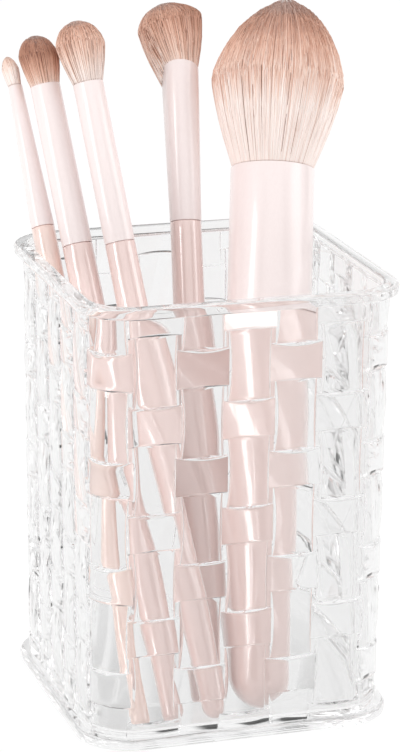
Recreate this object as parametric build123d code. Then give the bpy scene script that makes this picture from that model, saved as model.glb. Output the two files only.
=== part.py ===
from build123d import *
from dataclasses import dataclass
import math
import os

# A clear square brush cup moulded as a basket weave, with the five brushes that stand in it.
# Millimetres. The cup stands on z = 0, centred on the Z axis, with its front face towards -Y.

# Cup
cup_height = 115.0
lip_width = 84.0
lip_corner_radius = 14.0
lip_height = 2.8
lip_overhang = 2.0
lip_edge_radius = 0.9
mouth_edge_radius = 0.6
draft_angle = 0.37
ground_wall = 1.0
floor_thickness = 3.0
floor_corner_radius = 1.5
foot_overhang = 2.2
foot_height = 2.4
foot_edge_radius = 1.1

# Weave: blocks are the level strips where they pass in front, warps the upright ones
side_columns = 5
row_pitch = 13.87
block_height = 10.0
block_rise = 1.0
block_root = 0.8
warp_width = 11.0
warp_rise = 0.8
warp_root = 0.5
strip_end_rise = 0.15
strip_tuck = 0.35
strip_side_slope = 0.8

# Fits shared by all brushes
seat_gap = 0.3
seam_gap = 0.15
ferrule_wall = 0.4
glue_gap = 0.08
tenon_length = 16.0
knot_depth = 1.0
knot_thickness = 2.0
hair_root_share = 0.78
hair_side_share = 0.55
hair_tip_share = 0.6
hair_embed = 0.4
camera_side_turn = -17.8


@dataclass
class Brush:
    name: str
    wall: int
    from_wall: float
    from_front: float
    lean: float
    lean_heading: float
    end_radius: float
    belly_radius: float
    belly_height: float
    seam_radius: float
    seam_height: float
    mouth_radius: float
    mouth_height: float
    hair_count: int
    hair_top: float
    shoulder_radius: float
    shoulder_height: float
    dome_power: float
    hair_drift: float = 0.0
    hair_depth_share: float = 1.0
    dome_rise_across: float = 0.0
    apex_across: float = 0.0
    mouth_slant: float = 0.0
    mouth_slant_heading: float = 0.0


# Heights are along the brush from its rounded end. from_wall is the distance of that end's centre
# from the cup's inner left wall (wall -1) or right wall (wall 1), from_front its gap to the front wall.
brushes = [
    Brush(
        name="pencil_brush", wall=-1, from_wall=10.73, from_front=0.6, lean=28.43, lean_heading=97.78,
        end_radius=2.4, belly_radius=3.08, belly_height=90.0, seam_radius=3.05, seam_height=132.0,
        mouth_radius=1.85, mouth_height=170.3, hair_count=24, hair_top=178.3,
        shoulder_radius=2.1, shoulder_height=4.2, dome_power=2.0, hair_drift=-0.06,
    ),
    Brush(
        name="shader_brush", wall=-1, from_wall=19.45, from_front=0.6, lean=26.1, lean_heading=100.6,
        end_radius=3.0, belly_radius=4.15, belly_height=80.0, seam_radius=3.94, seam_height=125.5,
        mouth_radius=3.9, mouth_height=168.0, hair_count=68, hair_top=181.5,
        shoulder_radius=4.9, shoulder_height=7.5, dome_power=2.2,
    ),
    Brush(
        name="blending_brush", wall=-1, from_wall=30.3, from_front=0.6, lean=23.53, lean_heading=103.14,
        end_radius=3.0, belly_radius=4.15, belly_height=80.0, seam_radius=3.94, seam_height=124.5,
        mouth_radius=3.96, mouth_height=166.5, hair_count=80, hair_top=182.9,
        shoulder_radius=6.3, shoulder_height=10.0, dome_power=2.4,
    ),
    Brush(
        name="contour_brush", wall=-1, from_wall=30.6, from_front=8.4, lean=23.58, lean_heading=79.2,
        end_radius=3.0, belly_radius=4.2, belly_height=80.0, seam_radius=4.12, seam_height=126.7,
        mouth_radius=4.95, mouth_height=166.9, hair_count=88, hair_top=184.6,
        shoulder_radius=8.7, shoulder_height=10.5, dome_power=2.2, hair_drift=-0.2,
        hair_depth_share=0.3, dome_rise_across=3.0, mouth_slant=29.0, mouth_slant_heading=-68.0,
    ),
    Brush(
        name="powder_brush", wall=1, from_wall=30.0, from_front=0.84, lean=24.41, lean_heading=69.78,
        end_radius=7.5, belly_radius=9.9, belly_height=70.0, seam_radius=11.05, seam_height=99.7,
        mouth_radius=11.05, mouth_height=140.9, hair_count=180, hair_top=186.2,
        shoulder_radius=17.6, shoulder_height=24.0, dome_power=1.4, hair_drift=0.02,
        dome_rise_across=-1.0, apex_across=0.22,
    ),
]

# Cup sizes that follow from the ones above
ground_radius = lip_corner_radius - lip_overhang - block_rise
lip_underside = cup_height - lip_height
warp_length = 2 * row_pitch - block_height + 2 * strip_tuck
last_row = math.floor((lip_underside + block_height / 2) / row_pitch)


def ground_half(z):
    """Half the width of the wall's outside between the strips, at height z."""
    return lip_width / 2 - lip_overhang - block_rise - (cup_height - z) * math.tan(math.radians(draft_angle))


def cavity_half(z):
    return ground_half(z) - ground_wall


side_run = 2 * (ground_half(cup_height / 2) - ground_radius)
column_pitch = (side_run + math.pi / 2 * ground_radius) / (side_columns + 1)
block_length = 2 * column_pitch - warp_width + 2 * strip_tuck


def rounded_block(half, radius, bottom, height):
    return extrude(Pos(0, 0, bottom) * RectangleRounded(2 * half, 2 * half, radius), height)


def drafted_block(half_at, radius, bottom, top):
    sections = [Pos(0, 0, z) * RectangleRounded(2 * half_at(z), 2 * half_at(z), radius) for z in (bottom, top)]
    return loft(sections, ruled=True)


def strip(length, width, rise, root):
    """A strip along X that bows out to +Z over its length, with sloping sides and a sunken root."""
    bow = make_face(
        Polyline((length / 2, strip_end_rise), (length / 2, -root), (-length / 2, -root),
                 (-length / 2, strip_end_rise))
        + ThreePointArc((-length / 2, strip_end_rise), (0, rise), (length / 2, strip_end_rise))
    )
    foot = width / 2 + root * strip_side_slope
    crest = width / 2 - (rise + root) * strip_side_slope
    sides = make_face(Polyline((-foot, -root), (foot, -root), (crest, rise + root),
                               (-crest, rise + root), close=True))
    along = extrude(Plane.XZ * bow, amount=width, both=True)
    across = extrude(Plane.YZ * sides, amount=length, both=True)
    return along & across


def around(radius, angle):
    return (radius * math.cos(angle), radius * math.sin(angle))


def whole_turn(profile):
    """A ring about the Z axis, with its seam away from the strip's middle at +X."""
    return Rot(0, 0, 180) * revolve(Plane.XZ * profile, Axis.Z)


def corner_block():
    """The level strip where it bows round a corner whose centre is the Z axis, middle towards +X."""
    inner = ground_radius - block_root
    reach = block_length / 2 / ground_radius
    plan = make_face(
        ThreePointArc(around(ground_radius + strip_end_rise, -reach), (ground_radius + block_rise, 0),
                      around(ground_radius + strip_end_rise, reach))
        + Line(around(ground_radius + strip_end_rise, reach), around(inner, reach))
        + ThreePointArc(around(inner, reach), (inner, 0), around(inner, -reach))
        + Line(around(inner, -reach), around(ground_radius + strip_end_rise, -reach))
    )
    crest = ground_radius + block_rise + block_root
    foot_half = block_height / 2 + block_root * strip_side_slope
    crest_half = block_height / 2 - (crest - ground_radius) * strip_side_slope
    sides = make_face(Polyline((inner, -foot_half), (crest, -crest_half), (crest, crest_half),
                               (inner, foot_half), close=True))
    return extrude(plan, amount=block_height, both=True) & whole_turn(sides)


def corner_warp():
    """The upright strip on a corner whose centre is the Z axis, middle towards +X."""
    inner = ground_radius - warp_root
    bow = make_face(
        ThreePointArc((ground_radius + strip_end_rise, -warp_length / 2), (ground_radius + warp_rise, 0),
                      (ground_radius + strip_end_rise, warp_length / 2))
        + Polyline((ground_radius + strip_end_rise, warp_length / 2), (inner, warp_length / 2),
                   (inner, -warp_length / 2), (ground_radius + strip_end_rise, -warp_length / 2))
    )
    crest = ground_radius + warp_rise + warp_root
    foot_reach = (warp_width / 2 + warp_root * strip_side_slope) / ground_radius
    crest_reach = (warp_width / 2 - (crest - ground_radius) * strip_side_slope) / ground_radius
    plan = make_face(Polyline(around(inner, -foot_reach), around(crest, -crest_reach),
                              around(crest, crest_reach), around(inner, foot_reach), close=True))
    return whole_turn(bow) & extrude(plan, amount=warp_length, both=True)


def weave_strips():
    """Every strip of the weave, cut off under the lip and inside the foot flange."""
    flat_block = strip(block_length, block_height, block_rise, block_root)
    flat_warp = strip(warp_length, warp_width, warp_rise, warp_root)
    round_block = corner_block()
    round_warp = corner_warp()
    band_bottom = foot_height * 2 / 3
    band_top = lip_underside + lip_height / 3
    band = Pos(0, 0, (band_bottom + band_top) / 2) * Box(2 * lip_width, 2 * lip_width, band_top - band_bottom)
    slope = math.tan(math.radians(draft_angle))
    outward = Vector(0, -1, -slope)
    strips = []
    for row in range(last_row + 1):
        z = lip_underside - row * row_pitch
        row_strips = []
        for column in range(side_columns):
            step = column - (side_columns - 1) / 2
            place = (step * column_pitch, -ground_half(z), z)
            block_here = (row + column) % 2 == 0
            run = Vector(1, 0, 0) if block_here else Vector(0, -slope, 1)
            shape = flat_block if block_here else flat_warp
            row_strips.append(Plane(origin=place, x_dir=run, z_dir=outward) * shape)
        centre = -(ground_half(z) - ground_radius)
        shape = round_block if row % 2 == 1 else round_warp
        row_strips.append(Pos(centre, centre, z) * Rot(0, 0, 225) * shape)
        if z + warp_length / 2 > band_top or z - warp_length / 2 < band_bottom:
            row_strips = [piece & band for piece in row_strips]
        strips += [Rot(0, 0, turn) * piece for turn in (0, 90, 180, 270) for piece in row_strips]
    return strips


def woven_cup():
    lip_half = lip_width / 2
    foot_half = ground_half(0) + block_rise + foot_overhang
    foot_radius = ground_radius + block_rise + foot_overhang
    lip = rounded_block(lip_half, lip_corner_radius, lip_underside, lip_height)
    lip = fillet(lip.faces().sort_by(Axis.Z)[-1].edges() + lip.faces().sort_by(Axis.Z)[0].edges(), lip_edge_radius)
    foot = rounded_block(foot_half, foot_radius, 0, foot_height)
    foot = fillet(foot.faces().sort_by(Axis.Z)[-1].edges(), foot_edge_radius)
    wall = drafted_block(ground_half, ground_radius, foot_height / 2, lip_underside + lip_height / 2)
    cavity = drafted_block(cavity_half, ground_radius - ground_wall, floor_thickness, cup_height + lip_height)
    cavity = fillet(cavity.faces().sort_by(Axis.Z)[0].edges(), floor_corner_radius)
    cup = wall + [lip, foot] + weave_strips()
    cup = cup - cavity
    mouth = cup.faces().filter_by(Axis.Z).sort_by(Axis.Z)[-1].inner_wires().edges()
    return fillet(mouth, mouth_edge_radius)


def ferrule_radius(brush, height):
    """Outer radius of the ferrule, which runs straight from the seam to the mouth."""
    share = (height - brush.seam_height) / (brush.mouth_height - brush.seam_height)
    return brush.seam_radius + share * (brush.mouth_radius - brush.seam_radius)


def bore_radius(brush, height):
    return ferrule_radius(brush, height) - ferrule_wall


def mouth_plane(brush, drop):
    """The plane of the ferrule's mouth, lowered by drop along the brush."""
    tilt = math.tan(math.radians(brush.mouth_slant))
    heading = math.radians(brush.mouth_slant_heading)
    normal = (-tilt * math.cos(heading), -tilt * math.sin(heading), 1)
    return Plane(origin=(0, 0, brush.mouth_height - drop), z_dir=normal)


def mouth_rise(brush):
    return brush.mouth_radius * math.tan(math.radians(brush.mouth_slant))


def below(solid, plane):
    return split(solid, bisect_by=plane, keep=Keep.BOTTOM)


def above(solid, plane):
    return split(solid, bisect_by=plane, keep=Keep.TOP)


def turned(*outline):
    """Turns an outline in the XZ plane about the brush's axis."""
    return revolve(Plane.XZ * make_face(outline[0] + list(outline[1:])), Axis.Z)


def handle(brush):
    end = brush.end_radius
    knee = end * math.sqrt(0.5)
    seam = brush.seam_height - seam_gap
    tenon_top = brush.seam_height + tenon_length
    foot_radius = bore_radius(brush, brush.seam_height) - glue_gap
    top_radius = bore_radius(brush, tenon_top) - glue_gap
    return turned(
        ThreePointArc((0, 0), (knee, end - knee), (end, end)),
        Spline((end, end), (brush.belly_radius, brush.belly_height), (brush.seam_radius, seam),
               tangents=((0, 1), (0, 1))),
        Polyline((brush.seam_radius, seam), (foot_radius, seam), (top_radius, tenon_top), (0, tenon_top), (0, 0)),
    )


def ferrule(brush):
    top = brush.mouth_height + mouth_rise(brush)
    tube = turned(Polyline(
        (ferrule_radius(brush, brush.seam_height), brush.seam_height),
        (ferrule_radius(brush, top), top),
        (bore_radius(brush, top), top),
        (bore_radius(brush, brush.seam_height), brush.seam_height),
        (ferrule_radius(brush, brush.seam_height), brush.seam_height),
    ))
    if brush.mouth_slant:
        tube = below(tube, mouth_plane(brush, 0))
    return tube


def bore_fill(brush, bottom, top):
    """What fills the ferrule's bore between two heights, less the glue gap."""
    return turned(Polyline((0, bottom), (bore_radius(brush, bottom) - glue_gap, bottom),
                           (bore_radius(brush, top) - glue_gap, top), (0, top), (0, bottom)))


def resin_plug(brush):
    bottom = brush.seam_height + tenon_length
    top = brush.mouth_height + mouth_rise(brush)
    return below(bore_fill(brush, bottom, top), mouth_plane(brush, knot_depth + knot_thickness))


def dome_share(x, y, apex):
    """How far a root in the unit circle lies from the apex at (apex, 0) to the circle itself, 0 to 1."""
    off = x - apex
    spread = 1 - apex ** 2
    return (apex * off + math.sqrt(apex ** 2 * off ** 2 + spread * (off ** 2 + y ** 2))) / spread


def hair(brush):
    """Straight strands that fan out from a bonded base and end on a dome."""
    bottom = brush.mouth_height - mouth_rise(brush) - knot_depth - knot_thickness
    base = bore_fill(brush, bottom - knot_thickness, brush.mouth_height + mouth_rise(brush))
    base = above(below(base, mouth_plane(brush, knot_depth)), mouth_plane(brush, knot_depth + knot_thickness))
    root_radius = hair_root_share * bore_radius(brush, brush.mouth_height)
    spacing = math.sqrt(math.pi / brush.hair_count) * root_radius
    side = hair_side_share * spacing
    fan = (brush.shoulder_radius / root_radius - 1) / (brush.shoulder_height + knot_depth)
    slant = math.tan(math.radians(brush.mouth_slant))
    heading = math.radians(brush.mouth_slant_heading)
    shoulder = brush.mouth_height + brush.shoulder_height
    golden_turn = math.pi * (3 - math.sqrt(5))
    strands = []
    for index in range(brush.hair_count):
        out = math.sqrt((index + 0.5) / brush.hair_count)
        x, y = around(root_radius * out, index * golden_turn)
        root = brush.mouth_height - knot_depth + slant * (x * math.cos(heading) + y * math.sin(heading))
        share = dome_share(x / root_radius, y / root_radius, brush.apex_across)
        tip = brush.hair_top - (brush.hair_top - shoulder) * share ** brush.dome_power
        tip += brush.dome_rise_across * x / root_radius
        length = tip - root
        tip_x = x * (1 + fan * length) + brush.hair_drift * length
        tip_y = y * (1 + fan * brush.hair_depth_share * length)
        strands.append(loft(
            [Pos(x, y, root - hair_embed) * Rectangle(side, side),
             Pos(tip_x, tip_y, tip) * Rectangle(hair_tip_share * side, hair_tip_share * side)],
            ruled=True,
        ))
    return base + strands


def brush_plane(brush):
    """The brush's own frame in the cup: origin at its rounded end, Z up along the brush."""
    centre_z = floor_thickness + seat_gap + brush.end_radius
    wall = cavity_half(centre_z)
    centre = Vector(brush.wall * (wall - brush.from_wall), -(wall - brush.from_front - brush.end_radius), centre_z)
    lean = math.radians(brush.lean)
    heading = math.radians(brush.lean_heading)
    turn = math.radians(camera_side_turn)
    axis = Vector(math.sin(lean) * math.cos(heading), math.sin(lean) * math.sin(heading), math.cos(lean))
    side = Vector(math.cos(turn), math.sin(turn), 0)
    return Plane(origin=centre - axis * brush.end_radius, x_dir=side, z_dir=axis)


def main():
    os.makedirs("parts", exist_ok=True)
    export_step(woven_cup(), "parts/woven_cup.step")
    for brush in brushes:
        plane = brush_plane(brush)
        print(brush.name, "slides along", [round(value, 4) for value in plane.z_dir])
        for piece, make in (("handle", handle), ("ferrule", ferrule), ("resin_plug", resin_plug), ("hair", hair)):
            export_step(plane * make(brush), f"parts/{brush.name}_{piece}.step")


if __name__ == "__main__":
    main()
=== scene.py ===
import math
import random

import bmesh
import bpy
from mathutils import Matrix, Vector


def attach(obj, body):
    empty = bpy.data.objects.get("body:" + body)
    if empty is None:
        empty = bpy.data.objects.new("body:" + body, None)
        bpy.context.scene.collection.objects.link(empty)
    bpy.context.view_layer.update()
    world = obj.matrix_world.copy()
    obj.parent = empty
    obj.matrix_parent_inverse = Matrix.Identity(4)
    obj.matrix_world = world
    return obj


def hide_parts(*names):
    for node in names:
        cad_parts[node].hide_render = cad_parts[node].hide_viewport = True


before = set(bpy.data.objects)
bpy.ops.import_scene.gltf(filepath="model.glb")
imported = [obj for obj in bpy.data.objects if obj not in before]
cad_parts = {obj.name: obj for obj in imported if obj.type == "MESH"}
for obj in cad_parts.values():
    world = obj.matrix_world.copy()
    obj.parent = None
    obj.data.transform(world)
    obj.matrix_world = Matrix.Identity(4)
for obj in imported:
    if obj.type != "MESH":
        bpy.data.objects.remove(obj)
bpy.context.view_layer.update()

mm = 0.001
same = 1e-6    # metres: places closer than this are the same place


# Small helpers

def deselectAll():
    if bpy.context.object and bpy.context.object.mode != "OBJECT":
        bpy.ops.object.mode_set(mode="OBJECT")
    bpy.ops.object.select_all(action="DESELECT")


def makeActive(obj):
    deselectAll()
    obj.select_set(True)
    bpy.context.view_layer.objects.active = obj


def startEditing(obj):
    makeActive(obj)
    bpy.ops.object.mode_set(mode="EDIT")


def stopEditing():
    bpy.ops.object.mode_set(mode="OBJECT")


def pick(obj, kind, test):
    # in edit mode: selects the vertices or edges whose place passes the test, and nothing else
    bpy.ops.mesh.select_mode(type=kind)
    bpy.ops.mesh.select_all(action="DESELECT")
    mesh = bmesh.from_edit_mesh(obj.data)
    if kind == "VERT":
        for vert in mesh.verts:
            vert.select_set(test(vert.co))
    else:
        for edge in mesh.edges:
            edge.select_set(test(edge.verts[0].co, edge.verts[1].co))
    mesh.select_flush_mode()
    bmesh.update_edit_mesh(obj.data)


def applyModifier(obj, kind, **settings):
    makeActive(obj)
    modifier = obj.modifiers.new(kind.title(), kind)
    for name, value in settings.items():
        setattr(modifier, name, value)
    bpy.ops.object.modifier_apply(modifier=modifier.name)


def moveMesh(obj, matrix):
    obj.data.transform(matrix)
    obj.data.update()


def copyOf(obj, name, matrix):
    twin = obj.copy()
    twin.data = obj.data.copy()
    twin.name = name
    bpy.context.collection.objects.link(twin)
    moveMesh(twin, matrix)
    return twin


def joinAll(objects, name):
    deselectAll()
    for obj in objects:
        obj.select_set(True)
    bpy.context.view_layer.objects.active = objects[0]
    bpy.ops.object.join()
    whole = bpy.context.object
    whole.name = name
    return whole


def smoothShade(obj, degrees):
    makeActive(obj)
    bpy.ops.object.shade_smooth_by_angle(angle=math.radians(degrees))


def dropMesh(obj):
    data = obj.data
    bpy.data.objects.remove(obj)
    bpy.data.meshes.remove(data)


# Colours and nodes

def linear(hexCode):
    # sRGB hex to the linear numbers that the shaders take
    values = []
    for start in (0, 2, 4):
        part = int(hexCode.lstrip("#")[start:start + 2], 16) / 255
        values.append(part / 12.92 if part <= 0.04045 else ((part + 0.055) / 1.055) ** 2.4)
    return (*values, 1.0)


def newMaterial(name):
    material = bpy.data.materials.new(name)
    material.use_nodes = True
    return material, material.node_tree, material.node_tree.nodes["Principled BSDF"]


def addNode(tree, kind, settings=None, inputs=None, links=None):
    # settings are the node's own properties, inputs its socket values, links what feeds its sockets
    node = tree.nodes.new(kind)
    for name, value in (settings or {}).items():
        setattr(node, name, value)
    for name, value in (inputs or {}).items():
        node.inputs[name].default_value = value
    for name, source in (links or {}).items():
        tree.links.new(source, node.inputs[name])
    return node


# Materials, each named for the real one

finishes = {
    "plastic": {
        "colour": "#f5f5f5", "ior": 1.57, "roughness": (0.006, 0.014), "flowWidth": 9.0, "flowDepth": 0.004,
    },
    "lacquer": {
        "pink": ("#ebd3ce", "#e8cec8"), "peach": ("#f4dfd8", "#efd0c4"), "roughness": (0.16, 0.24),
        "coat": 1.0, "coatRoughness": 0.03, "coatIor": 1.7, "driftSize": 14.0, "peelSize": 1.6,
        "peelDepth": 0.006,
    },
    "paint": {
        "colour": "#f8ebe9", "shade": "#f3e5e3", "roughness": (0.255, 0.345), "coat": 0.6,
        "coatRoughness": 0.1, "drawnWidth": 0.5, "drawnLength": 60.0, "drawnDepth": 0.004,
    },
    "resin": {"colour": "#d9c9a6", "shade": "#c4ac7c", "roughness": 0.35, "grainSize": 0.8},
    "fibre": {
        # the fibres' glow is painted light: a faint glow of their own colour for the light that passes
        # between them
        "roughness": 0.5, "sheen": 0.4, "sheenRoughness": 0.4, "paintedGlow": 0.08,
        # the ramp's two darkest stops are painted shade at the strands' roots, where the hair leaves the
        # ferrule
        "dyeAndRootShade": ((0.0, "#6f574c"), (0.14, "#9c8478"), (0.19, "#faeee9"), (0.25, "#fcf2ed"), (0.45, "#f3d9cb"),
                (0.7, "#e5bba6"), (0.88, "#d3a38c"), (1.0, "#b07e67")),
        "tone": ((0.0, "#876455"), (0.05, "#b99e92"), (0.12, "#e9dcd6"), (0.3, "#faf6f4"), (1.0, "#ffffff")),
    },
}


def mouldedPolystyrene():
    # clear polystyrene, injection moulded and polished: glossy, with faint flow waves and no colour
    look = finishes["plastic"]
    material, tree, shader = newMaterial("mouldedPolystyrene")
    shader.inputs["Base Color"].default_value = linear(look["colour"])
    shader.inputs["Transmission Weight"].default_value = 1.0
    shader.inputs["IOR"].default_value = look["ior"]
    place = addNode(tree, "ShaderNodeTexCoord")
    flow = addNode(tree, "ShaderNodeTexNoise", inputs={"Scale": 1 / (look["flowWidth"] * mm), "Detail": 1.0},
                   links={"Vector": place.outputs["Object"]})
    finish = addNode(tree, "ShaderNodeMapRange", inputs={"To Min": look["roughness"][0],
                     "To Max": look["roughness"][1]}, links={"Value": flow.outputs["Fac"]})
    tree.links.new(finish.outputs["Result"], shader.inputs["Roughness"])
    waves = addNode(tree, "ShaderNodeBump", inputs={"Strength": 1.0, "Distance": look["flowDepth"] * mm},
                    links={"Height": flow.outputs["Fac"]})
    tree.links.new(waves.outputs["Normal"], shader.inputs["Normal"])
    # lamps shine straight through, so the brushes inside and the floor aren't left in the dark
    path = addNode(tree, "ShaderNodeLightPath")
    clear = addNode(tree, "ShaderNodeBsdfTransparent")
    mix = addNode(tree, "ShaderNodeMixShader", links={"Fac": path.outputs["Is Shadow Ray"],
                  1: shader.outputs["BSDF"], 2: clear.outputs["BSDF"]})
    tree.links.new(mix.outputs["Shader"], tree.nodes["Material Output"].inputs["Surface"])
    return material


def lacqueredBeech(tone):
    # turned beech under sprayed lacquer: the grain is hidden, and a clear coat gives sharp highlights
    look = finishes["lacquer"]
    colour, shade = look[tone]
    material, tree, shader = newMaterial(tone + "LacqueredBeech")
    shader.inputs["Coat Weight"].default_value = look["coat"]
    shader.inputs["Coat Roughness"].default_value = look["coatRoughness"]
    shader.inputs["Coat IOR"].default_value = look["coatIor"]
    place = addNode(tree, "ShaderNodeTexCoord")
    drift = addNode(tree, "ShaderNodeTexNoise", inputs={"Scale": 1 / (look["driftSize"] * mm), "Detail": 2.0},
                    links={"Vector": place.outputs["Object"]})
    tint = addNode(tree, "ShaderNodeMix", {"data_type": "RGBA"}, {6: linear(colour), 7: linear(shade)},
                   {"Factor": drift.outputs["Fac"]})
    tree.links.new(tint.outputs[2], shader.inputs["Base Color"])
    peel = addNode(tree, "ShaderNodeTexNoise", inputs={"Scale": 1 / (look["peelSize"] * mm), "Detail": 1.0},
                   links={"Vector": place.outputs["Object"]})
    finish = addNode(tree, "ShaderNodeMapRange", inputs={"To Min": look["roughness"][0],
                     "To Max": look["roughness"][1]}, links={"Value": peel.outputs["Fac"]})
    tree.links.new(finish.outputs["Result"], shader.inputs["Roughness"])
    bump = addNode(tree, "ShaderNodeBump", inputs={"Distance": look["peelDepth"] * mm},
                   links={"Height": peel.outputs["Fac"]})
    tree.links.new(bump.outputs["Normal"], shader.inputs["Normal"])
    return material


def paintedAluminium():
    # deep-drawn aluminium tube under satin paint: a broad soft highlight, and faint lines along the draw
    look = finishes["paint"]
    material, tree, shader = newMaterial("paintedAluminium")
    shader.inputs["Coat Weight"].default_value = look["coat"]
    shader.inputs["Coat Roughness"].default_value = look["coatRoughness"]
    place = addNode(tree, "ShaderNodeTexCoord")
    across = 1 / (look["drawnWidth"] * mm)
    along = 1 / (look["drawnLength"] * mm)
    lines = addNode(tree, "ShaderNodeMapping", inputs={"Scale": (across, across, along)},
                    links={"Vector": place.outputs["Object"]})
    drawn = addNode(tree, "ShaderNodeTexNoise", inputs={"Scale": 1.0, "Detail": 2.0},
                    links={"Vector": lines.outputs["Vector"]})
    tint = addNode(tree, "ShaderNodeMix", {"data_type": "RGBA"}, {6: linear(look["colour"]),
                   7: linear(look["shade"])}, {"Factor": drawn.outputs["Fac"]})
    tree.links.new(tint.outputs[2], shader.inputs["Base Color"])
    finish = addNode(tree, "ShaderNodeMapRange", inputs={"To Min": look["roughness"][0],
                     "To Max": look["roughness"][1]}, links={"Value": drawn.outputs["Fac"]})
    tree.links.new(finish.outputs["Result"], shader.inputs["Roughness"])
    bump = addNode(tree, "ShaderNodeBump", inputs={"Distance": look["drawnDepth"] * mm},
                   links={"Height": drawn.outputs["Fac"]})
    tree.links.new(bump.outputs["Normal"], shader.inputs["Normal"])
    return material


def castEpoxy():
    # epoxy poured into the ferrule: amber, slightly uneven
    look = finishes["resin"]
    material, tree, shader = newMaterial("castEpoxy")
    shader.inputs["Roughness"].default_value = look["roughness"]
    place = addNode(tree, "ShaderNodeTexCoord")
    grain = addNode(tree, "ShaderNodeTexNoise", inputs={"Scale": 1 / (look["grainSize"] * mm)},
                    links={"Vector": place.outputs["Object"]})
    tint = addNode(tree, "ShaderNodeMix", {"data_type": "RGBA"}, {6: linear(look["colour"]),
                   7: linear(look["shade"])}, {"Factor": grain.outputs["Fac"]})
    tree.links.new(tint.outputs[2], shader.inputs["Base Color"])
    return material


def dyedNylon():
    # nylon filament, drawn, tapered and dip-dyed at its tips: cream roots, brown ends, a soft gloss; the very
    # foot of each strand is darkened with painted shade.
    # The strands' map gives the dye's depth and the painted root shade upwards, and each strand's own tone
    # sideways
    look = finishes["fibre"]
    material, tree, shader = newMaterial("dyedNylon")
    shader.inputs["Roughness"].default_value = look["roughness"]
    shader.inputs["Sheen Weight"].default_value = look["sheen"]
    shader.inputs["Sheen Roughness"].default_value = look["sheenRoughness"]
    strand = addNode(tree, "ShaderNodeUVMap", {"uv_map": "OFBake"})
    parts = addNode(tree, "ShaderNodeSeparateXYZ", links={"Vector": strand.outputs["UV"]})
    dyeAndRootShade = addNode(tree, "ShaderNodeValToRGB", links={"Fac": parts.outputs["Y"]})
    setRamp(dyeAndRootShade, look["dyeAndRootShade"])
    tone = addNode(tree, "ShaderNodeValToRGB", links={"Fac": parts.outputs["X"]})
    setRamp(tone, look["tone"])
    mix = addNode(tree, "ShaderNodeMix", {"data_type": "RGBA", "blend_type": "MULTIPLY"}, {0: 1.0},
                  {6: dyeAndRootShade.outputs["Color"], 7: tone.outputs["Color"]})
    tree.links.new(mix.outputs[2], shader.inputs["Base Color"])
    # the thin filaments let light through to each other, which a faint painted glow of their own colour
    # stands for
    tree.links.new(mix.outputs[2], shader.inputs["Emission Color"])
    shader.inputs["Emission Strength"].default_value = look["paintedGlow"]
    return material


def setRamp(node, stops):
    # all the places come first, because moving a stop can change the order of the stops
    elements = node.color_ramp.elements
    while len(elements) < len(stops):
        elements.new(0.5)
    for element, stop in zip(elements, stops):
        element.position = stop[0]
    for element, stop in zip(elements, stops):
        element.color = linear(stop[1])


cupPlastic = mouldedPolystyrene()
handleLacquer = lacqueredBeech("pink")
pencilLacquer = lacqueredBeech("peach")
ferrulePaint = paintedAluminium()
plugResin = castEpoxy()
hairFibre = dyedNylon()


# The cup: a clear moulding with a basket weave outside and a smooth inside

cup = {
    "height": 115.0,
    "lipHalf": 42.0,
    "lipRadius": 14.0,
    "lipHeight": 2.8,
    "lipEdge": 0.85,
    "mouthEdge": 0.55,
    "wallHalf": 39.0,
    "wallRadius": 11.0,
    "wallThickness": 1.0,
    "draft": 0.37,
    "floor": 3.0,
    "floorEdge": 1.5,
    "footHalf": 41.45,
    "footRadius": 14.2,
    "footHeight": 2.4,
    "footEdge": 1.0,
    "columns": 5,
    "rowPitch": 13.87,
    "rows": 9,
    "blockHeight": 10.0,
    "blockRise": 1.0,
    "blockRoot": 0.8,
    "warpWidth": 11.0,
    "warpRise": 0.8,
    "warpRoot": 0.5,
    "endRise": 0.15,
    "tuck": 0.35,
    "sideSlope": 0.8,
    "stripEdge": 0.28,
    "soleEdge": 0.2,
    "cornerCuts": 12,
    "edgeCuts": 4,
    "stripCuts": 12,
    "bentCuts": 6,
    "fineCuts": 3,
    "smoothAngle": 32,
    # how far the wall and the strips run into the foot and the lip, and the cavity out of the mouth
    "wallStart": 1.2,
    "wallInLip": 1.4,
    "stripStart": 1.5,
    "stripInLip": 1.0,
    "cavityPast": 3.0,
    "mouthSlack": 0.05,
}
lipUnder = cup["height"] - cup["lipHeight"]
draftSlope = math.tan(math.radians(cup["draft"]))


def wallHalfAt(height):
    return cup["wallHalf"] - (cup["height"] - height) * draftSlope


sideRun = 2 * (wallHalfAt(cup["height"] / 2) - cup["wallRadius"])
columnPitch = (sideRun + math.pi / 2 * cup["wallRadius"]) / (cup["columns"] + 1)
blockLength = 2 * columnPitch - cup["warpWidth"] + 2 * cup["tuck"]
warpLength = 2 * cup["rowPitch"] - cup["blockHeight"] + 2 * cup["tuck"]


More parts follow.
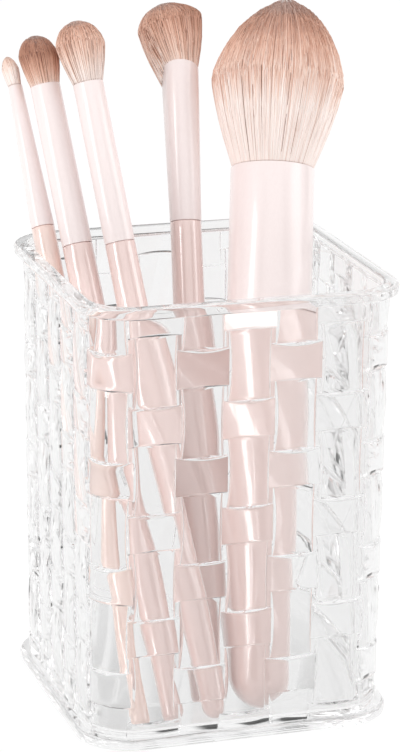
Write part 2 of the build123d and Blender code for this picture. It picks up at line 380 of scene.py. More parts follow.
def roundedBlock(name, halfLow, halfHigh, radius, low, high, lowEdge=0.0, highEdge=0.0):
    # a plane with its corners rounded, pulled up to a block whose top may be a little wider
    deselectAll()
    bpy.ops.mesh.primitive_plane_add(size=2 * halfLow * mm, location=(0, 0, 0))
    block = bpy.context.object
    block.name = name
    moveMesh(block, Matrix.Translation((0, 0, low * mm)))
    startEditing(block)
    bpy.ops.mesh.select_all(action="SELECT")
    bpy.ops.mesh.bevel(offset=radius * mm, segments=cup["cornerCuts"], affect="VERTICES")
    bpy.ops.mesh.select_all(action="SELECT")
    bpy.ops.mesh.extrude_region_move(TRANSFORM_OT_translate={"value": (0, 0, (high - low) * mm)})
    widen = halfHigh / halfLow
    bpy.ops.transform.resize(value=(widen, widen, 1), center_override=(0, 0, 0))
    bpy.ops.mesh.select_all(action="SELECT")
    bpy.ops.mesh.normals_make_consistent(inside=False)
    for level, size in ((low, lowEdge), (high, highEdge)):
        if size:
            pick(block, "EDGE", lambda a, b: max(abs(a.z - level * mm), abs(b.z - level * mm)) < same)
            bpy.ops.mesh.bevel(offset=size * mm, segments=cup["edgeCuts"], affect="EDGES")
    stopEditing()
    return block


def bowHeight(share, rise):
    # share runs from -1 to 1 along the strip
    return rise - (rise - cup["endRise"]) * share ** 2


def weaveStrip(name, length, width, rise, root, acrossCuts):
    # a strip along X that bows up over its length, with sloping sides, sunk by its root into the wall
    alongCuts = cup["stripCuts"]
    slope = cup["sideSlope"]
    foot = width / 2 + root * slope
    deselectAll()
    bpy.ops.mesh.primitive_grid_add(x_subdivisions=alongCuts, y_subdivisions=acrossCuts, size=1,
                                    location=(0, 0, 0))
    strip = bpy.context.object
    strip.name = name
    sized = Matrix.Diagonal((length * mm, 2 * foot * mm, 1, 1))
    moveMesh(strip, Matrix.Translation((0, 0, -root * mm)) @ sized)
    startEditing(strip)
    bpy.ops.mesh.select_all(action="SELECT")
    bpy.ops.mesh.extrude_region_move(TRANSFORM_OT_translate={"value": (0, 0, root * mm)})
    for column in range(alongCuts + 1):
        share = 2 * column / alongCuts - 1
        height = bowHeight(share, rise)
        middle = share * length / 2 * mm
        pick(strip, "VERT", lambda co: abs(co.x - middle) < same and co.z > -root * mm / 2)
        bpy.ops.transform.translate(value=(0, 0, height * mm))
        narrow = (width / 2 - height * slope) / foot
        bpy.ops.transform.resize(value=(1, narrow, 1), center_override=(0, 0, 0))
    bpy.ops.mesh.select_all(action="SELECT")
    bpy.ops.mesh.normals_make_consistent(inside=False)

    def onRidge(a, b):
        # the two long edges where the bowed top meets the sloping sides
        for co in (a, b):
            height = bowHeight(co.x / (length / 2 * mm), rise)
            if co.z < 0 or abs(abs(co.y) - (width / 2 - height * slope) * mm) > 2 * same:
                return False
        return abs(a.y + b.y) > width / 2 * mm

    pick(strip, "EDGE", onRidge)
    bpy.ops.mesh.bevel(offset=cup["stripEdge"] * mm, segments=cup["fineCuts"], affect="EDGES")
    stopEditing()
    return strip


def bendRoundCorner(strip):
    # wraps a strip that faces -Y round the wall's corner, whose centre then lies on the Z axis
    length = max(v.co.x for v in strip.data.vertices) - min(v.co.x for v in strip.data.vertices)
    applyModifier(strip, "SIMPLE_DEFORM", deform_method="BEND", deform_axis="Z",
                  angle=length / (cup["wallRadius"] * mm))
    moveMesh(strip, Matrix.Translation((0, -cup["wallRadius"] * mm, 0)))


def buildWeave():
    facing = Matrix.Rotation(math.radians(90), 4, "X")
    upright = facing @ Matrix.Rotation(math.radians(90), 4, "Z")
    tilt = Matrix.Rotation(math.radians(cup["draft"]), 4, "X")
    towardsCorner = Matrix.Rotation(math.radians(-45), 4, "Z")
    kinds = {}
    for kind, length, width, rise, root, stand in (
        ("block", blockLength, cup["blockHeight"], cup["blockRise"], cup["blockRoot"], facing),
        ("warp", warpLength, cup["warpWidth"], cup["warpRise"], cup["warpRoot"], upright),
    ):
        flat = weaveStrip(kind + "Flat", length, width, rise, root, 1)
        moveMesh(flat, stand)
        bent = weaveStrip(kind + "Bent", length, width, rise, root, cup["bentCuts"])
        moveMesh(bent, stand)
        bendRoundCorner(bent)
        kinds[kind] = (flat, bent)
    placed = {"block": [], "warp": []}
    for row in range(cup["rows"]):
        height = lipUnder - row * cup["rowPitch"]
        half = wallHalfAt(height)
        for column in range(cup["columns"] + 1):
            kind = "block" if (row + column) % 2 == 0 else "warp"
            flat, bent = kinds[kind]
            if column < cup["columns"]:
                step = column - (cup["columns"] - 1) / 2
                spot = Matrix.Translation((step * columnPitch * mm, -half * mm, height * mm)) @ tilt
                shape = flat
            else:
                centre = (half - cup["wallRadius"]) * mm
                spot = Matrix.Translation((-centre, -centre, height * mm)) @ towardsCorner
                shape = bent
            for turn in range(4):
                quarter = Matrix.Rotation(math.radians(90 * turn), 4, "Z")
                placed[kind].append(copyOf(shape, kind, quarter @ spot))
    for flat, bent in kinds.values():
        dropMesh(flat)
        dropMesh(bent)
    groups = []
    for kind, strips in placed.items():
        group = joinAll(strips, kind + "Strips")
        startEditing(group)
        for level, direction in ((lipUnder + cup["stripInLip"], 1), (cup["stripStart"], -1)):
            bpy.ops.mesh.select_all(action="SELECT")
            bpy.ops.mesh.bisect(plane_co=(0, 0, level * mm), plane_no=(0, 0, direction), use_fill=True,
                                clear_outer=True)
        stopEditing()
        groups.append(group)
    return groups


def buildCup():
    wallLow = cup["wallStart"]
    wallHigh = lipUnder + cup["wallInLip"]
    cavityHigh = cup["height"] + cup["cavityPast"]
    thickness = cup["wallThickness"]
    wall = roundedBlock("wovenCup", wallHalfAt(wallLow), wallHalfAt(wallHigh), cup["wallRadius"],
                        wallLow, wallHigh)
    lip = roundedBlock("lip", cup["lipHalf"], cup["lipHalf"], cup["lipRadius"], lipUnder, cup["height"],
                       cup["lipEdge"], cup["lipEdge"])
    foot = roundedBlock("foot", cup["footHalf"], cup["footHalf"], cup["footRadius"], 0, cup["footHeight"],
                        cup["soleEdge"], cup["footEdge"])
    cavity = roundedBlock("cavity", wallHalfAt(cup["floor"]) - thickness, wallHalfAt(cavityHigh) - thickness,
                          cup["wallRadius"] - thickness, cup["floor"], cavityHigh, cup["floorEdge"])
    for part in (lip, foot, *buildWeave(), cavity):
        operation = "DIFFERENCE" if part == cavity else "UNION"
        applyModifier(wall, "BOOLEAN", object=part, operation=operation, solver="MANIFOLD")
        dropMesh(part)
    top = (cup["height"] - cup["mouthSlack"]) * mm
    mouth = (wallHalfAt(cup["height"]) - thickness + cup["mouthSlack"]) * mm
    startEditing(wall)
    pick(wall, "EDGE", lambda a, b: min(a.z, b.z) > top
         and max(abs(a.x), abs(a.y), abs(b.x), abs(b.y)) < mouth)
    bpy.ops.mesh.bevel(offset=cup["mouthEdge"] * mm, segments=cup["fineCuts"], affect="EDGES")
    stopEditing()
    smoothShade(wall, cup["smoothAngle"])
    return wall


def placePiece(piece, material, node, body):
    piece.data.materials.clear()
    piece.data.materials.append(material)
    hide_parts(node)
    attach(piece, body)


wovenCup = buildCup()
placePiece(wovenCup, cupPlastic, "woven_cup", "cup")
print("cup built:", len(wovenCup.data.polygons), "faces")


# The brushes: heights run along each brush, from its rounded end

brushes = {
    "pencil_brush": {
        "side": -1, "fromWall": 10.73, "fromFront": 0.6, "lean": 28.43, "heading": 97.78,
        "endRadius": 2.4, "bellyRadius": 3.08, "bellyHeight": 90.0, "seamRadius": 3.05, "seamHeight": 132.0,
        "mouthRadius": 1.85, "mouthHeight": 170.3,
        "strands": 800, "hairTop": 178.4, "shoulderRadius": 2.15, "shoulderHeight": 4.4, "domePower": 1.8,
        "drift": -0.067, "dyeStart": 4.5, "dyeLeast": 2.0, "dyeFade": 5.0, "dyeMost": 0.6,
        "streaks": 1.0,
    },
    "shader_brush": {
        "side": -1, "fromWall": 19.45, "fromFront": 0.6, "lean": 26.1, "heading": 100.6,
        "endRadius": 3.0, "bellyRadius": 4.15, "bellyHeight": 80.0, "seamRadius": 3.94, "seamHeight": 125.5,
        "mouthRadius": 3.9, "mouthHeight": 168.0,
        "strands": 2000, "hairTop": 181.3, "shoulderRadius": 5.1, "shoulderHeight": 7.5, "domePower": 2.4,
        "domeRise": -0.7, "dyeStart": -2.0, "dyeLeast": 6.0, "dyeFade": 6.0, "dyeMost": 0.97,
        "streaks": 1.7,
    },
    "blending_brush": {
        "side": -1, "fromWall": 30.3, "fromFront": 0.6, "lean": 23.53, "heading": 103.14,
        "endRadius": 3.0, "bellyRadius": 4.15, "bellyHeight": 80.0, "seamRadius": 3.94, "seamHeight": 124.5,
        "mouthRadius": 3.96, "mouthHeight": 166.5,
        "strands": 2400, "hairTop": 182.8, "shoulderRadius": 6.3, "shoulderHeight": 9.8, "domePower": 2.2,
        "domeRise": -0.3, "dyeStart": 3.0, "dyeLeast": 5.0, "dyeFade": 11.0, "dyeMost": 0.9,
        "streaks": 1.7,
    },
    "contour_brush": {
        "side": -1, "fromWall": 30.6, "fromFront": 8.4, "lean": 23.58, "heading": 79.2,
        "endRadius": 3.0, "bellyRadius": 4.2, "bellyHeight": 80.0, "seamRadius": 4.12, "seamHeight": 126.7,
        "mouthRadius": 4.95, "mouthHeight": 166.9, "slant": 22.0, "slantHeading": -90.0,
        "notchDrop": 4.0, "notchReach": 0.16,
        "strands": 3000, "hairTop": 184.7, "shoulderRadius": 8.9, "shoulderHeight": 12.7, "domePower": 2.0,
        "drift": -0.21, "depthShare": 0.68, "domeRise": 2.4, "dyeStart": -2.0, "dyeLeast": 9.0,
        "dyeFade": 14.0, "dyeMost": 1.0, "streaks": 1.6, "bow": 0.12,
    },
    "powder_brush": {
        "side": 1, "fromWall": 30.0, "fromFront": 0.84, "lean": 24.41, "heading": 69.78,
        "endRadius": 7.5, "bellyRadius": 9.9, "bellyHeight": 70.0, "seamRadius": 11.05, "seamHeight": 99.7,
        "mouthRadius": 11.05, "mouthHeight": 140.9,
        "strands": 3700, "hairTop": 186.4, "shoulderRadius": 17.45, "shoulderHeight": 22.6, "domePower": 1.6,
        "drift": 0.04, "domeRise": -0.8, "apex": 0.06, "dyeStart": 17.5, "dyeLeast": 5.0, "dyeFade": 16.5,
        "dyeMost": 0.96, "streaks": 0.65,
    },
}
fit = {
    "seat": 0.3, "seam": 0.15, "ferruleWall": 0.4, "glue": 0.08, "tenon": 16.0, "tenonStep": 0.001,
    "knotDepth": 1.0, "knotThickness": 2.0, "knotGap": 0.02, "acrossTurn": -17.8, "ferrulePast": 6.0,
    "shoulderEdge": 0.25, "mouthEdge": 0.14, "footEdge": 0.1, "endCuts": 10, "bodyCuts": 34,
    "shoulderCuts": 3, "mouthCuts": 3, "footCuts": 2, "handleSides": 56, "ferruleSides": 72,
    "knotSides": 32, "smoothAngle": 40,
}
fibres = {
    "fill": 0.945, "sides": 4, "rootRadius": 0.105, "tipRadius": 0.055, "taperPower": 3.5, "bow": 0.06,
    "rootSink": 0.3, "rootRun": 1.9, "sideRings": (0.55, 1.0), "domeRings": (0.35, 0.7, 1.0),
    "plainRings": (0.3, 0.5, 0.7, 0.87, 1.0), "rimCrowd": 0.62, "overRun": 1.0, "overRunPower": 1.2,
    "turnSpread": 0.08, "turnDrop": 0.3, "turnLeast": 0.5, "soften": 0.08, "halvings": 10,
    # tips and turns are spread in shoulder radii, tufts in tuft widths, and strays per length
    "tipSpread": 0.2 / 17, "stray": 0.008, "strayInward": 0.75, "tuftWidth": 0.8, "tuftLeast": 3,
    "tuftShift": 0.2, "tuftPull": 0.13,
    # places on the dye's ramp, the lowest of them painted shade at the roots, and the tones that strands are
    # sorted into
    "rootPaintedShade": 0.02, "dyeFoot": 0.2, "dyeEdge": 0.3, "dyeRun": 0.5, "dyeSpread": 0.2, "dyeStep": 0.012,
    "tones": 32, "toneEdge": 0.1,
    "coreShare": 0.965, "coreDepth": 0.035, "crownSink": 3, "coreTip": 0.02, "coreTone": (0.6, 0.3),
    "coreSides": 48, "coreRise": 9, "coreCrown": 11, "coreAngle": 60,
}


def brushFrame(brush):
    # from the brush's own axes, Z along it, to the cup's
    lean = math.radians(brush["lean"])
    heading = math.radians(brush["heading"])
    turn = math.radians(fit["acrossTurn"])
    along = Vector((math.sin(lean) * math.cos(heading), math.sin(lean) * math.sin(heading), math.cos(lean)))
    across = Vector((math.cos(turn), math.sin(turn), 0))
    across = (across - along * across.dot(along)).normalized()
    centreHeight = cup["floor"] + fit["seat"] + brush["endRadius"]
    inside = wallHalfAt(centreHeight) - cup["wallThickness"]
    centre = Vector((brush["side"] * (inside - brush["fromWall"]),
                     -(inside - brush["fromFront"] - brush["endRadius"]), centreHeight))
    start = (centre - along * brush["endRadius"]) * mm
    turned = Matrix((across, along.cross(across), along)).transposed().to_4x4()
    return Matrix.Translation(start) @ turned


def turnPiece(name, rings, sides):
    # a disc pulled up through rings of (radius, height), as on a lathe
    radius, height = rings[0]
    deselectAll()
    bpy.ops.mesh.primitive_circle_add(vertices=sides, radius=radius * mm, fill_type="NGON",
                                      location=(0, 0, 0))
    piece = bpy.context.object
    piece.name = name
    moveMesh(piece, Matrix.Translation((0, 0, height * mm)))
    startEditing(piece)
    bpy.ops.mesh.select_all(action="SELECT")
    for nextRadius, nextHeight in rings[1:]:
        bpy.ops.mesh.extrude_region_move(TRANSFORM_OT_translate={"value": (0, 0, (nextHeight - height) * mm)})
        share = nextRadius / radius
        bpy.ops.transform.resize(value=(share, share, 1), center_override=(0, 0, nextHeight * mm))
        radius, height = nextRadius, nextHeight
    bpy.ops.mesh.select_all(action="SELECT")
    bpy.ops.mesh.normals_make_consistent(inside=False)
    stopEditing()
    return piece


def ferruleRadius(brush, height):
    share = (height - brush["seamHeight"]) / (brush["mouthHeight"] - brush["seamHeight"])
    return brush["seamRadius"] + (brush["mouthRadius"] - brush["seamRadius"]) * share


def boreRadius(brush, height):
    return ferruleRadius(brush, height) - fit["ferruleWall"]


def handleRadius(brush, height):
    # a smooth swell from the rounded end through the belly to the seam, upright at both ends
    rise = brush["bellyHeight"] - brush["endRadius"]
    fall = brush["seamHeight"] - brush["bellyHeight"]
    riseSlope = (brush["bellyRadius"] - brush["endRadius"]) / rise
    fallSlope = (brush["seamRadius"] - brush["bellyRadius"]) / fall
    bellySlope = 3 * (fall * riseSlope + rise * fallSlope) / (2 * (rise + fall))
    if height <= brush["bellyHeight"]:
        run, t = rise, (height - brush["endRadius"]) / rise
        low, high, lowSlope, highSlope = brush["endRadius"], brush["bellyRadius"], 0, bellySlope
    else:
        run, t = fall, (height - brush["bellyHeight"]) / fall
        low, high, lowSlope, highSlope = brush["bellyRadius"], brush["seamRadius"], bellySlope, 0
    return (low * (2 * t ** 3 - 3 * t ** 2 + 1) + high * (3 * t ** 2 - 2 * t ** 3)
            + run * (lowSlope * (t ** 3 - 2 * t ** 2 + t) + highSlope * (t ** 3 - t ** 2)))


def buildHandle(body, brush):
    end = brush["endRadius"]
    top = brush["seamHeight"] - fit["seam"]
    rings = []
    for step in range(1, fit["endCuts"] + 1):
        angle = math.radians(90 * step / fit["endCuts"])
        rings.append((end * math.sin(angle), end - end * math.cos(angle)))
    bodyCuts = fit["bodyCuts"]
    edge = fit["shoulderEdge"]
    for step in range(1, bodyCuts + 1):
        height = end + (top - edge - end) * step / bodyCuts
        rings.append((handleRadius(brush, height), height))
    shoulder = handleRadius(brush, top) - edge
    for step in range(1, fit["shoulderCuts"] + 1):
        angle = math.radians(90 * step / fit["shoulderCuts"])
        rings.append((shoulder + edge * math.cos(angle), top - edge + edge * math.sin(angle)))
    rings.append((boreRadius(brush, top) - fit["glue"], top + fit["tenonStep"]))
    rings.append((boreRadius(brush, top + fit["tenon"]) - fit["glue"], top + fit["tenon"]))
    handle = turnPiece(body + "_turnedHandle", rings, fit["handleSides"])
    smoothShade(handle, fit["smoothAngle"])
    return handle


def mouthCut(brush):
    # the plane of the ferrule's mouth: its middle and its normal
    steep = math.tan(math.radians(brush.get("slant", 0.0)))
    heading = math.radians(brush.get("slantHeading", 0.0))
    normal = Vector((-steep * math.cos(heading), -steep * math.sin(heading), 1)).normalized()
    return Vector((0, 0, brush["mouthHeight"] * mm)), normal


def buildFerrule(body, brush):
    middle, normal = mouthCut(brush)
    past = fit["ferrulePast"]
    sides = fit["ferruleSides"]
    low = brush["seamHeight"]
    high = brush["mouthHeight"] + past
    tube = turnPiece(body + "_drawnFerrule", [(ferruleRadius(brush, h), h) for h in (low, high)], sides)
    bore = turnPiece("bore", [(boreRadius(brush, h), h) for h in (low - past, high + past)], sides)
    startEditing(tube)
    bpy.ops.mesh.select_all(action="SELECT")
    bpy.ops.mesh.bisect(plane_co=middle, plane_no=normal, use_fill=True, clear_outer=True)
    if "notchDrop" in brush:
        steep = brush["notchDrop"] / (brush["notchReach"] * brush["mouthRadius"])
        side = Vector((-steep, 0, 1)).normalized()
        corner = Vector((-brush["mouthRadius"], 0, brush["mouthHeight"] - brush["notchDrop"])) * mm
        bpy.ops.mesh.select_all(action="SELECT")
        bpy.ops.mesh.bisect(plane_co=corner, plane_no=side, use_fill=True, clear_outer=True)
    stopEditing()
    applyModifier(tube, "BOOLEAN", object=bore, operation="DIFFERENCE", solver="MANIFOLD")
    dropMesh(bore)
    startEditing(tube)
    pick(tube, "EDGE", lambda a, b: max(abs(normal.dot(a - middle)), abs(normal.dot(b - middle))) < 2 * same)
    bpy.ops.mesh.bevel(offset=fit["mouthEdge"] * mm, segments=fit["mouthCuts"], affect="EDGES")
    pick(tube, "EDGE", lambda a, b: max(a.z, b.z) < low * mm + same)
    bpy.ops.mesh.bevel(offset=fit["footEdge"] * mm, segments=fit["footCuts"], affect="EDGES")
    stopEditing()
    smoothShade(tube, fit["smoothAngle"])
    return tube


def domeShare(x, y, apex):
    # how far out a strand stands in the head, from 0 over the apex to 1 at the rim
    off = x - apex
    keep = 1 - apex ** 2
    return (apex * off + math.sqrt(apex ** 2 * off ** 2 + keep * (off ** 2 + y ** 2))) / keep


def headShape(brush):
    # how far from the axis its outermost fibres are rooted, and how fast they fan out from there
    rootRadius = boreRadius(brush, brush["mouthHeight"]) * fibres["fill"]
    fan = (brush["shoulderRadius"] / rootRadius - 1) / (brush["shoulderHeight"] + fit["knotDepth"])
    return rootRadius, fan


def mouthRise(brush, x, y):
    # how much higher the slanted mouth lies over x, y of the bore (1 is its wall) than over its middle
    normal = mouthCut(brush)[1]
    return -(normal.x * x + normal.y * y) / normal.z * headShape(brush)[0]


def notchDepth(brush, x, y):
    # how far the notch of a ferrule's mouth reaches below the rest of it
    if "notchDrop" not in brush:
        return 0.0
    return max(0.0, mouthRise(brush, x, y) - brush["notchDrop"] * ((x + 1) / brush["notchReach"] - 1))


def strandRoot(brush, x, y):
    return (brush["mouthHeight"] - fit["knotDepth"] - fibres["rootSink"] + mouthRise(brush, x, y)
            - notchDepth(brush, x, y))


def strandTop(brush, x, y):
    # a dome from the shoulder to the crown, leaning where the real one was trimmed that way
    step = domeShare(x, y, brush.get("apex", 0.0))
    shoulder = brush["mouthHeight"] + brush["shoulderHeight"]
    return (brush["hairTop"] - (brush["hairTop"] - shoulder) * step ** brush["domePower"]
            + brush.get("domeRise", 0.0) * x)


def domeScale(brush, x, y, level):
    # how far a strand is drawn in towards the crown where it lies along the dome
    if strandTop(brush, x, y) >= level:
        return 1.0
    low, high = 0.0, 1.0
    for halving in range(fibres["halvings"]):
        middle = (low + high) / 2
        if strandTop(brush, x * middle, y * middle) >= level:
            low = middle
        else:
            high = middle
    return low


def headPoint(brush, x, y, level):
    # where a strand rooted at x, y of the bore stands at some level
    rootRadius, fan = headShape(brush)
    root = strandRoot(brush, x, y)
    length = strandTop(brush, x, y) - root
    run = max(0.0, level - root)
    reach = run * (1 - notchDepth(brush, x, y) / length)
    spread = 1 + fan * reach + brush.get("bow", fibres["bow"]) * math.sin(math.pi * min(1.0, run / length))
    return Vector((rootRadius * x * spread + brush.get("drift", 0.0) * reach,
                   rootRadius * y * (1 + (spread - 1) * brush.get("depthShare", 1.0)), level))


def dyeDepth(brush, level, top, shift):
    # a place on the dye's ramp, where 1 is the darkest tip
    start = min(brush["dyeStart"] + shift * brush["dyeFade"], top - brush["mouthHeight"] - brush["dyeLeast"])
    depth = (level - brush["mouthHeight"] - start) / brush["dyeFade"]
    return min(brush["dyeMost"], max(fibres["dyeFoot"], fibres["dyeEdge"] + fibres["dyeRun"] * depth))


def buildCore(brush):
    # the inside of the bundle, where the fibres stand too close for a gap to show
    rise = fibres["coreRise"]
    crown = fibres["coreCrown"]
    crownSink = fibres["crownSink"]
    toneLow, toneRange = fibres["coreTone"]
    rings = [(1.0, step / rise) for step in range(rise + 1)]
    rings += [(1 - step / crown, 1.0) for step in range(1, crown)] + [(fibres["coreTip"], 1.0)]
    core = turnPiece("core", [(1.0, 1.0 + step) for step in range(len(rings))], fibres["coreSides"])
    dyeAndRootShade = {}
    for vert in core.data.vertices:
        step = round(vert.co.z / mm) - 1
        share, along = rings[step]
        angle = math.atan2(vert.co.y, vert.co.x)
        x = share * fibres["coreShare"] * math.cos(angle)
        y = share * fibres["coreShare"] * math.sin(angle)
        top = strandTop(brush, x / fibres["coreShare"], y / fibres["coreShare"])
        length = top - strandRoot(brush, x, y)
        sink = fibres["coreDepth"] * (crownSink - (crownSink - 1) * share) * brush["shoulderRadius"]
        level = strandRoot(brush, x, y) + along * (length - sink)
        # the core's lowest ring takes the painted shade of the roots
        depth = dyeDepth(brush, level, top, 0) if along else fibres["rootPaintedShade"]
        dyeAndRootShade[vert.index] = (toneLow + toneRange * (angle / math.tau + 0.5), depth)
        vert.co = headPoint(brush, x, y, level) * mm
    layer = core.data.uv_layers.new(name="OFBake")
    for loop in core.data.loops:
        layer.data[loop.index].uv = dyeAndRootShade[loop.vertex_index]
    smoothShade(core, fibres["coreAngle"])
    return core


def buildHair(body, brush):
    dice = random.Random(body)
    count = brush["strands"]
    golden = math.pi * (3 - math.sqrt(5))
    width = brush["shoulderRadius"]
    across = max(fibres["tuftLeast"], round(headShape(brush)[0] / fibres["tuftWidth"]))
    tufts = {}
    bundle = bpy.data.curves.new(body + "_strands", "CURVE")
    bundle.dimensions = "3D"
    bundle.bevel_depth = fibres["rootRadius"] * mm
    bundle.bevel_resolution = 0
    dyeAndRootShade = []
    tone = []
    rimCount = int(count * fibres["rimCrowd"])
    for number in range(count):
        if number < rimCount:
            share = math.sqrt(dice.uniform(fibres["coreShare"] ** 2, 1))
        else:
            share = math.sqrt((number + 0.5 - rimCount) / (count - rimCount))
        x = share * math.cos(number * golden)
        y = share * math.sin(number * golden)
        root = strandRoot(brush, x, y)
        meet = strandTop(brush, x, y)
        top = meet
        if number < rimCount:
            # it lies along the dome and ends somewhere on it
            inner = 1 - fibres["overRun"] * dice.random() ** fibres["overRunPower"]
            top = strandTop(brush, x * inner, y * inner)
        top -= abs(dice.gauss(0, fibres["tipSpread"])) * width
        cell = (round(x * across), round(y * across))
        if cell not in tufts:
            tufts[cell] = ((cell[0] + dice.gauss(0, fibres["tuftShift"])) / across,
                           (cell[1] + dice.gauss(0, fibres["tuftShift"])) / across)
        strayX = dice.gauss(0, fibres["stray"])
        strayY = dice.gauss(0, fibres["stray"])
        shift = dice.gauss(0, fibres["dyeSpread"])
        out = root + fibres["rootRun"]
        levels = [root, out]
        turn = min(top - fibres["turnLeast"], meet + dice.gauss(0, fibres["turnSpread"]) * width)
        if turn > meet - fibres["turnDrop"]:
            levels += [out + step * (turn - out) for step in fibres["sideRings"]]
            levels += [turn + step * (top - turn) for step in fibres["domeRings"]]
        else:
            levels += [out + step * (top - out) for step in fibres["plainRings"]]
        spline = bundle.splines.new("POLY")
        spline.points.add(len(levels) - 1)
        inward = 1 - fibres["strayInward"] * math.hypot(x, y)
        soft = fibres["soften"] * width
        for point, level in zip(spline.points, levels):
            t = (level - root) / (top - root)
            pull = fibres["tuftPull"] * math.sin(math.pi * t) * math.hypot(x, y)
            keep = sum(domeScale(brush, x, y, level + step * soft) for step in (-1, 0, 0, 1)) / 4
            place = headPoint(brush, (x + (tufts[cell][0] - x) * pull) * keep,
                              (y + (tufts[cell][1] - y) * pull) * keep, level)
            place += Vector((strayX, strayY, 0)) * (level - root) * inward
            point.co = (*(place * mm), 1)
            point.radius = 1 - (1 - fibres["tipRadius"] / fibres["rootRadius"]) * t ** fibres["taperPower"]
            # each strand's root takes the painted shade of the roots
            dyeAndRootShade.append(dyeDepth(brush, level, top, shift) if t else fibres["rootPaintedShade"])
        tone.append(dice.random() ** brush["streaks"])
    strands = bpy.data.objects.new(body + "_strands", bundle)
    bpy.context.collection.objects.link(strands)
    makeActive(strands)
    bpy.ops.object.convert(target="MESH")
    strands = bpy.context.object
    paintStrands(strands.data, dyeAndRootShade, tone, len(dyeAndRootShade) // count)
    startEditing(strands)
    bpy.ops.mesh.select_all(action="SELECT")
    bpy.ops.mesh.fill_holes(sides=fibres["sides"])
    stopEditing()
    knotTop = brush["mouthHeight"] - fit["knotDepth"] - brush.get("notchDrop", 0.0)
    knotEnds = (knotTop - fit["knotThickness"], knotTop)
    knot = turnPiece("knot", [(boreRadius(brush, h) - fit["knotGap"], h) for h in knotEnds], fit["knotSides"])
    knot.data.uv_layers.new(name="OFBake")
    return joinAll([strands, buildCore(brush), knot], body + "_strandBundle")


def paintStrands(mesh, dyeAndRootShade, tone, ringCount):
    # the map of the strands: tone sideways, dye and painted root shade upwards, a little apart at the four
    # sides so no face is thin
    sides = fibres["sides"]
    tones = fibres["tones"]
    edge = fibres["toneEdge"]
    layer = mesh.uv_layers.new(name="OFBake")
    if len(mesh.vertices) != len(dyeAndRootShade) * sides:
        raise ValueError("the strands have an unexpected number of corners")
    for loop in mesh.loops:
        ring, side = divmod(loop.vertex_index, sides)
        column = int(tone[ring // ringCount] * tones)
        u = (column + edge + (1 - 2 * edge) * side / (sides - 1)) / tones
        v = dyeAndRootShade[ring] + (fibres["dyeStep"] if side in (1, 2) else 0.0)
        layer.data[loop.index].uv = (u, v)


for body, brush in brushes.items():
    toCup = brushFrame(brush)
    handle = buildHandle(body, brush)
    ferrule = buildFerrule(body, brush)
    hair = buildHair(body, brush)
    for piece in (handle, ferrule, hair):
        moveMesh(piece, toCup)
    pencil = body == "pencil_brush"
    placePiece(handle, pencilLacquer if pencil else handleLacquer, body + "_handle",
               body)
    placePiece(ferrule, ferrulePaint, body + "_ferrule", body)
    placePiece(hair, hairFibre, body + "_hair", body)
    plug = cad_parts[body + "_resin_plug"]
    plug.data.materials.clear()
    plug.data.materials.append(plugResin)
    print(body, "built:", len(hair.data.polygons), "faces in its hair")


# The studio: a lit white table, a white sky with dark flags, two lamps and the camera

studio = {
    "floorSize": 30000.0,
    "floorDrop": 0.1,
    "floorColour": "#505050",
    "floorRoughness": 0.9,
    "floorGlow": 0.94,
    "skyTop": 1.05,
    "skySide": 0.93,
    "skyHead": 0.8,
    "skyFoot": -0.1,
    "flags": 5,
    "flagTurn": 50.0,
    "flagEdge": (0.65, 0.85),
    "flagFoot": (-0.01, 0.07),
    "flagHead": (0.75, 0.55),
    "darkness": 0.05,
    # name, place, width, height and power
    "lamps": (("keyBox", (-930, -320, 280), 230, 850, 3.3), ("fillBox", (850, -450, 350), 500, 800, 2.4)),
    "lampTarget": (0, 0, 100),
    "target": (0.0, 0.0, 60.0),
    "distance": 800.1,
    "azimuth": -17.784,
    "elevation": 18.184,
    "roll": 0.55,
    "lens": 146.96,
    "shift": (-0.0007, 0.1189),
    "farthest": 20000.0,
}


def buildFloor():
    deselectAll()
    bpy.ops.mesh.primitive_plane_add(size=studio["floorSize"] * mm, location=(0, 0, 0))
    floor = bpy.context.object
    floor.name = "studioFloor"
    moveMesh(floor, Matrix.Translation((0, 0, -studio["floorDrop"] * mm)))
    material, tree, shader = newMaterial("litTable")
    shader.inputs["Base Color"].default_value = linear(studio["floorColour"])
    shader.inputs["Roughness"].default_value = studio["floorRoughness"]
    shader.inputs["Specular IOR Level"].default_value = 0.0
    # a lit table: it glows by itself, so that it stays white under the cup too
    shader.inputs["Emission Color"].default_value = (1, 1, 1, 1)
    shader.inputs["Emission Strength"].default_value = studio["floorGlow"]
    # so wide a glow is found by chance, and the lamps then get all the light samples
    material.cycles.emission_sampling = "NONE"
    floor.data.materials.append(material)


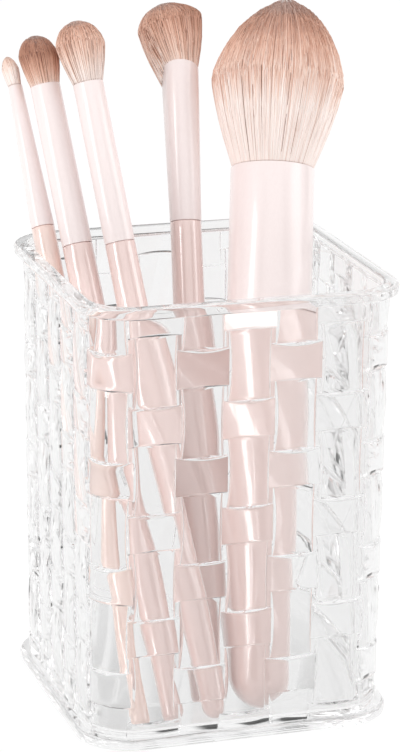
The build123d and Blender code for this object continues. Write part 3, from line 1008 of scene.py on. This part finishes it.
def buildSky():
    # a white sky, with upright dark flags round the studio: clear edges bend them into dark lines
    world = bpy.data.worlds.new("studioSky")
    world.use_nodes = True
    bpy.context.scene.world = world
    tree = world.node_tree
    back = tree.nodes["Background"]
    back.inputs["Color"].default_value = (1, 1, 1, 1)
    place = addNode(tree, "ShaderNodeTexCoord")
    parts = addNode(tree, "ShaderNodeSeparateXYZ", links={"Vector": place.outputs["Generated"]})
    height = parts.outputs["Z"]
    heading = addNode(tree, "ShaderNodeMath", {"operation": "ARCTAN2"},
                      links={0: parts.outputs["Y"], 1: parts.outputs["X"]})
    wave = addNode(tree, "ShaderNodeMath", {"operation": "MULTIPLY_ADD"},
                   {1: studio["flags"], 2: math.radians(studio["flagTurn"])}, {0: heading.outputs["Value"]})
    crest = addNode(tree, "ShaderNodeMath", {"operation": "SINE"}, links={0: wave.outputs["Value"]})
    shade = None
    for value, (bare, full) in ((crest.outputs["Value"], studio["flagEdge"]), (height, studio["flagFoot"]),
                                (height, studio["flagHead"])):
        ramp = addNode(tree, "ShaderNodeMapRange", {"interpolation_type": "SMOOTHSTEP"},
                       {"From Min": bare, "From Max": full}, {"Value": value})
        if shade:
            tree.links.new(shade, ramp.inputs["To Max"])
        shade = ramp.outputs["Result"]
    level = addNode(tree, "ShaderNodeMapRange", inputs={"From Min": studio["skyFoot"],
                    "From Max": studio["skyHead"], "To Min": studio["skySide"], "To Max": studio["skyTop"]},
                    links={"Value": height})
    light = addNode(tree, "ShaderNodeMix", {"data_type": "FLOAT"}, {"B": studio["darkness"]},
                    {"Factor": shade, "A": level.outputs["Result"]})
    tree.links.new(light.outputs["Result"], back.inputs["Strength"])


def addSoftBox(name, place, width, height, power):
    light = bpy.data.lights.new(name, "AREA")
    light.shape = "RECTANGLE"
    light.size = width * mm
    light.size_y = height * mm
    light.energy = power
    lamp = bpy.data.objects.new(name, light)
    bpy.context.collection.objects.link(lamp)
    spot = Vector(place) * mm
    aim = (spot - Vector(studio["lampTarget"]) * mm).to_track_quat("Z", "Y").to_matrix().to_4x4()
    lamp.matrix_world = Matrix.Translation(spot) @ aim


def buildCamera():
    azimuth = math.radians(studio["azimuth"])
    elevation = math.radians(studio["elevation"])
    roll = math.radians(studio["roll"])
    back = Vector((math.sin(azimuth) * math.cos(elevation), -math.cos(azimuth) * math.cos(elevation),
                   math.sin(elevation)))
    right = Vector((math.cos(azimuth), math.sin(azimuth), 0))
    up = back.cross(right)
    rolledRight = right * math.cos(roll) + up * math.sin(roll)
    rolledUp = up * math.cos(roll) - right * math.sin(roll)
    axes = Matrix((rolledRight, rolledUp, back)).transposed().to_4x4()
    camera = bpy.data.objects.new("camera", bpy.data.cameras.new("camera"))
    bpy.context.collection.objects.link(camera)
    camera.data.lens = studio["lens"]
    camera.data.shift_x, camera.data.shift_y = studio["shift"]
    camera.data.clip_end = studio["farthest"] * mm
    place = (Vector(studio["target"]) + back * studio["distance"]) * mm
    camera.matrix_world = Matrix.Translation(place) @ axes
    bpy.context.scene.camera = camera


buildFloor()
buildSky()
for lamp in studio["lamps"]:
    addSoftBox(*lamp)
buildCamera()
bpy.context.scene.view_settings.view_transform = "Standard"
# light has to get through many layers of clear plastic
cycles = bpy.context.scene.cycles
cycles.max_bounces = 48
cycles.diffuse_bounces = 8
cycles.glossy_bounces = 32
cycles.transmission_bounces = 32
cycles.transparent_max_bounces = 32
print("studio ready")
